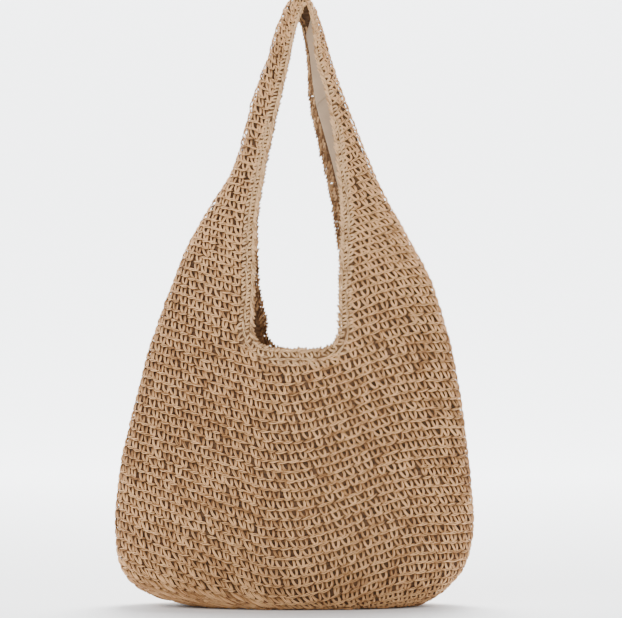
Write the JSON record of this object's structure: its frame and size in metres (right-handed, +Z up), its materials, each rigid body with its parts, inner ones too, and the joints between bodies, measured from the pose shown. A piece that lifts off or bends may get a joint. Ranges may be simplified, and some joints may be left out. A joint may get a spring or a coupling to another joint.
{
  "type": "crochet hobo shoulder bag",
  "caption": "Soft crocheted straw shoulder bag with an oval base, two wings that narrow into one folding strap, a cloth lining with two pockets and a magnetic snap.",
  "frame": {"origin": "middle of the base's underside, centred on the overall width and depth", "axes": "X across the bag's width, Y its depth with the front at -Y, Z up along the hanging strap"},
  "size_m": [0.38, 0.116, 0.6516],
  "materials": {
    "straw_yarn": "twisted paper straw yarn in single crochet, dull sheen",
    "edging_yarn": "the same straw yarn in slip stitch",
    "lining_cloth": "plain-weave beige cloth",
    "binding_tape": "folded cotton tape",
    "zip_tape_cloth": "woven zip tape",
    "coil_plastic": "moulded nylon coil",
    "light_brass": "satin light brass",
    "patch_cloth": "heavy twill"
  },
  "bodies": {
    "bag": {"crochet_base": "straw_yarn", "crochet_body": "straw_yarn", "rim_edging_front": "edging_yarn", "rim_edging_back": "edging_yarn", "lining_base": "lining_cloth", "lining_front": "lining_cloth", "lining_back": "lining_cloth", "slip_pocket": "lining_cloth", "slip_pocket_hem": "binding_tape", "zip_pocket": "lining_cloth", "zip_facing": "lining_cloth", "zip_tape_lower": "zip_tape_cloth", "zip_tape_upper": "zip_tape_cloth", "zip_coil": "coil_plastic", "zip_end_stops": "light_brass", "snap_washers": "light_brass", "snap_patches": "patch_cloth", "snap_socket": "light_brass", "snap_stud": "light_brass"},
    "zip_slider_body": {"zip_slider": "light_brass"},
    "zip_pull_body": {"zip_pull": "light_brass"},
    "wings": {"wing_left": "straw_yarn", "wing_right": "straw_yarn", "wing_lining_left": "lining_cloth", "wing_lining_right": "lining_cloth", "wing_edging": "edging_yarn"},
    "strap_lower": {"strap_lower_left": "straw_yarn", "strap_lower_right": "straw_yarn", "strap_lower_lining_left": "lining_cloth", "strap_lower_lining_right": "lining_cloth", "strap_lower_edging": "edging_yarn"},
    "strap_upper": {"strap_upper_left": "straw_yarn", "strap_upper_right": "straw_yarn", "strap_upper_lining_left": "lining_cloth", "strap_upper_lining_right": "lining_cloth", "strap_upper_edging": "edging_yarn"},
    "strap_crest": {"strap_crest_left": "straw_yarn", "strap_crest_right": "straw_yarn", "strap_crest_lining": "lining_cloth", "strap_crest_edging": "edging_yarn", "strap_join_stitches": "edging_yarn"}
  },
  "joints": [
    {"name": "wing_fold", "type": "hinge", "parent": "bag", "child": "wings", "pos_m": [0, 0, 0.3], "axis": [1, 0, 0], "range_deg": [-16, 16]},
    {"name": "strap_fold", "type": "hinge", "parent": "wings", "child": "strap_lower", "pos_m": [0, 0, 0.4], "axis": [1, 0, 0], "range_deg": [-32, 32]},
    {"name": "strap_bend", "type": "hinge", "parent": "strap_lower", "child": "strap_upper", "pos_m": [0, 0, 0.5], "axis": [1, 0, 0], "range_deg": [-45, 45]},
    {"name": "crest_bend", "type": "hinge", "parent": "strap_upper", "child": "strap_crest", "pos_m": [0, 0, 0.58], "axis": [1, 0, 0], "range_deg": [-50, 50]},
    {"name": "zip_slide", "type": "slide", "parent": "bag", "child": "zip_slider_body", "axis": [1, 0, 0], "range_m": [0, 0.137]},
    {"name": "pull_swing", "type": "hinge", "parent": "zip_slider_body", "child": "zip_pull_body", "pos_m": [-0.0686, 0.0268, 0.2165], "axis": [-1, 0, 0], "range_deg": [0, 160]}
  ],
  "couplings": [
    {"joint": "strap_bend", "follows": "strap_fold", "ratio": 1.4062},
    {"joint": "crest_bend", "follows": "strap_fold", "ratio": 1.5625}
  ]
}
